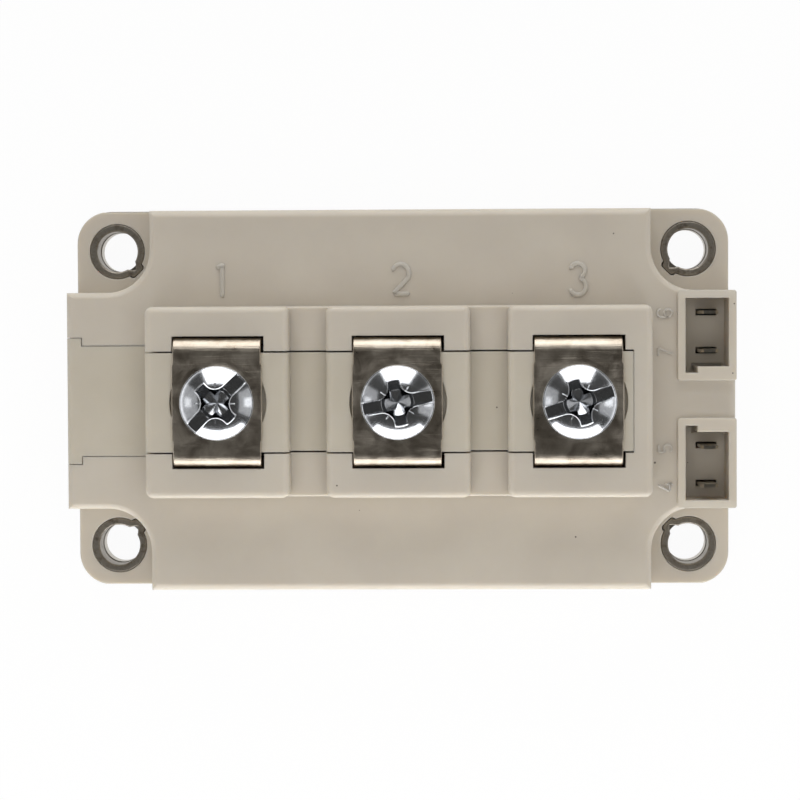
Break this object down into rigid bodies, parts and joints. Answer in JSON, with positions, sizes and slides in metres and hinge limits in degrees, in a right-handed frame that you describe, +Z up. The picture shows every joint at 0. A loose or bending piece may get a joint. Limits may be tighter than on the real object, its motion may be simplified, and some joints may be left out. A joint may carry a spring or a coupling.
{
  "type": "igbt module",
  "caption": "Flat power semiconductor module with a metal baseplate, raised screw terminals in a row and two keyed control sockets at one end.",
  "frame": {"origin": "centre of the baseplate's underside", "axes": "+X along the length to the control sockets, +Y across the width, +Z up out of the baseplate through the terminals"},
  "size_m": [0.1064, 0.0614, 0.0342],
  "materials": {
    "housing_plastic": "moulded, satin",
    "carrier_plastic": "moulded, satin",
    "baseplate_metal": "nickel-plated copper, satin",
    "terminal_metal": "nickel-plated copper strip, brushed",
    "screw_metal": "zinc-plated, bright",
    "nut_metal": "zinc-plated",
    "sleeve_steel": "rolled strip, dull",
    "tab_metal": "tin-plated, stamped",
    "solder": "dull",
    "track_copper": "bare copper",
    "ceramic": "fired ceramic",
    "silicon": "polished wafer",
    "wire_aluminium": "drawn wire",
    "silicone_gel": "clear gel",
    "sealant": "cured bead"
  },
  "bodies": {
    "root": {"baseplate": "baseplate_metal", "housing": "housing_plastic", "nut_carrier": "carrier_plastic", "terminal_1": "terminal_metal", "terminal_2": "terminal_metal", "terminal_3": "terminal_metal", "nut_1": "nut_metal", "nut_2": "nut_metal", "nut_3": "nut_metal", "screw_1": "screw_metal", "screw_2": "screw_metal", "screw_3": "screw_metal", "sleeve_1": "sleeve_steel", "sleeve_2": "sleeve_steel", "sleeve_3": "sleeve_steel", "sleeve_4": "sleeve_steel", "tab_4": "tab_metal", "tab_5": "tab_metal", "tab_6": "tab_metal", "tab_7": "tab_metal", "solder_1": "solder", "solder_2": "solder", "bottom_copper_1": "track_copper", "bottom_copper_2": "track_copper", "ceramic_1": "ceramic", "ceramic_2": "ceramic", "top_copper_1": "track_copper", "top_copper_2": "track_copper", "igbt_chips_1": "silicon", "igbt_chips_2": "silicon", "diode_chips_1": "silicon", "diode_chips_2": "silicon", "bond_wires_1": "wire_aluminium", "bond_wires_2": "wire_aluminium", "link_wires": "wire_aluminium", "gel": "silicone_gel", "sealant": "sealant"}
  },
  "joints": []
}
